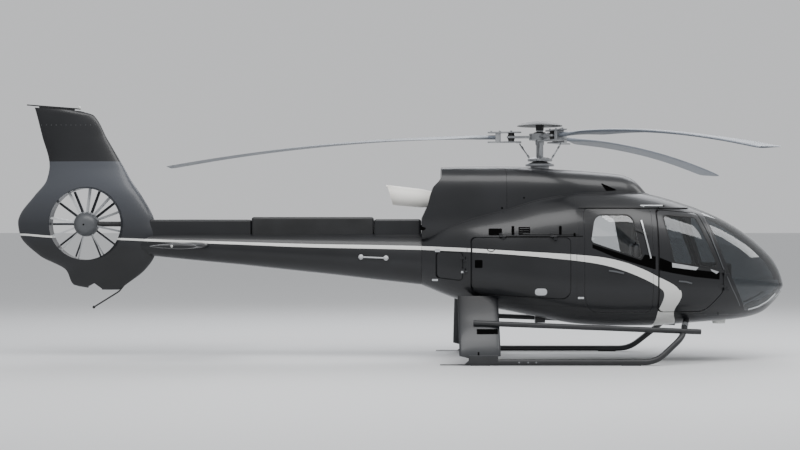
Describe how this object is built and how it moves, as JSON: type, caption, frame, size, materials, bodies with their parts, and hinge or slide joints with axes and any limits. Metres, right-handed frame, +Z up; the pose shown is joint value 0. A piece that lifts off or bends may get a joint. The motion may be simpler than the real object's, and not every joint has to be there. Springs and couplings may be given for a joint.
{
  "type": "light helicopter",
  "caption": "Light single-engine helicopter on skids, with a hinged-door cabin, baggage holds, a drooping three-blade main rotor and a tail rotor inside a shrouded fin.",
  "frame": {"origin": "flat underside of the belly hard point, straight below the main rotor mast; the ground is 0.5 m lower", "axes": "+X towards the nose, +Y to port (left), +Z up"},
  "size_m": [10.708, 9.3274, 3.558],
  "materials": {
    "charcoal_enamel": "gloss",
    "black_composite": "matte",
    "grey_gear_paint": "satin",
    "machined_steel": "satin",
    "heat_resistant_white": "matte",
    "acrylic_glazing": "clear",
    "blade_grey": "satin",
    "black_leather": "grained",
    "lamp_lens": "clear"
  },
  "bodies": {
    "airframe": {"cabin_floor": "charcoal_enamel", "cabin_roof": "charcoal_enamel", "nose_frame": "charcoal_enamel", "windshield_left": "acrylic_glazing", "windshield_right": "acrylic_glazing", "rear_door_left": "charcoal_enamel", "rear_door_right": "charcoal_enamel", "rear_window_glass_left": "acrylic_glazing", "rear_window_glass_right": "acrylic_glazing", "mid_fuselage": "charcoal_enamel", "transmission_cowling": "charcoal_enamel", "engine_cowling": "charcoal_enamel", "exhaust_pipe": "heat_resistant_white", "engine_block": "machined_steel", "main_gearbox": "machined_steel", "tail_boom": "charcoal_enamel", "spine_fairing": "charcoal_enamel", "driveshaft_cover": "black_composite", "spine_aft_cover": "charcoal_enamel", "fin_and_shroud": "charcoal_enamel", "tail_stator": "machined_steel", "stabiliser_left": "charcoal_enamel", "stabiliser_right": "charcoal_enamel", "tail_skid": "black_composite", "skid_left": "grey_gear_paint", "skid_right": "grey_gear_paint", "aft_leg_left": "grey_gear_paint", "aft_leg_right": "grey_gear_paint", "boarding_step_left": "black_composite", "boarding_step_right": "black_composite", "front_seats": "black_leather", "rear_seats": "black_leather", "instrument_panel": "black_composite", "landing_light": "lamp_lens", "swashplate_fixed": "machined_steel"},
    "front_door_left_body": {"front_door_left": "charcoal_enamel", "front_window_glass_left": "acrylic_glazing"},
    "front_door_right_body": {"front_door_right": "charcoal_enamel", "front_window_glass_right": "acrylic_glazing"},
    "side_baggage_left_body": {"side_baggage_door_left": "charcoal_enamel"},
    "side_baggage_right_body": {"side_baggage_door_right": "charcoal_enamel"},
    "rear_baggage_body": {"rear_baggage_door": "charcoal_enamel"},
    "main_rotor": {"rotor_head": "machined_steel", "rotor_cap": "black_composite", "swashplate_turning": "machined_steel", "main_blade_1": "blade_grey", "main_blade_2": "blade_grey", "main_blade_3": "blade_grey"},
    "tail_rotor_body": {"tail_rotor": "machined_steel"}
  },
  "joints": [
    {"name": "main_rotor_spin", "type": "hinge", "parent": "airframe", "child": "main_rotor", "pos_m": [0, 0, 2.6], "axis": [0, 0, -1], "continuous": true},
    {"name": "tail_rotor_spin", "type": "hinge", "parent": "airframe", "child": "tail_rotor_body", "pos_m": [-6.355, 0, 1.38], "axis": [0, -1, 0], "continuous": true},
    {"name": "front_door_left_hinge", "type": "hinge", "parent": "airframe", "child": "front_door_left_body", "pos_m": [2.41, 0.88598, 0.52], "axis": [0, 0, -1], "range_deg": [0, 75]},
    {"name": "front_door_right_hinge", "type": "hinge", "parent": "airframe", "child": "front_door_right_body", "pos_m": [2.41, -0.88598, 0.52], "axis": [0, 0, 1], "range_deg": [0, 75]},
    {"name": "side_baggage_left_hinge", "type": "hinge", "parent": "airframe", "child": "side_baggage_left_body", "pos_m": [-0.58, 0.81193, 1.212], "axis": [0.9735, 0.2285, 0], "range_deg": [0, 85]},
    {"name": "side_baggage_right_hinge", "type": "hinge", "parent": "airframe", "child": "side_baggage_right_body", "pos_m": [-0.58, -0.81193, 1.212], "axis": [-0.9735, 0.2285, 0], "range_deg": [0, 85]},
    {"name": "rear_baggage_hinge", "type": "hinge", "parent": "airframe", "child": "rear_baggage_body", "pos_m": [-1.086, -0.64957, 0.74], "axis": [0, 0, 1], "range_deg": [0, 95]}
  ]
}
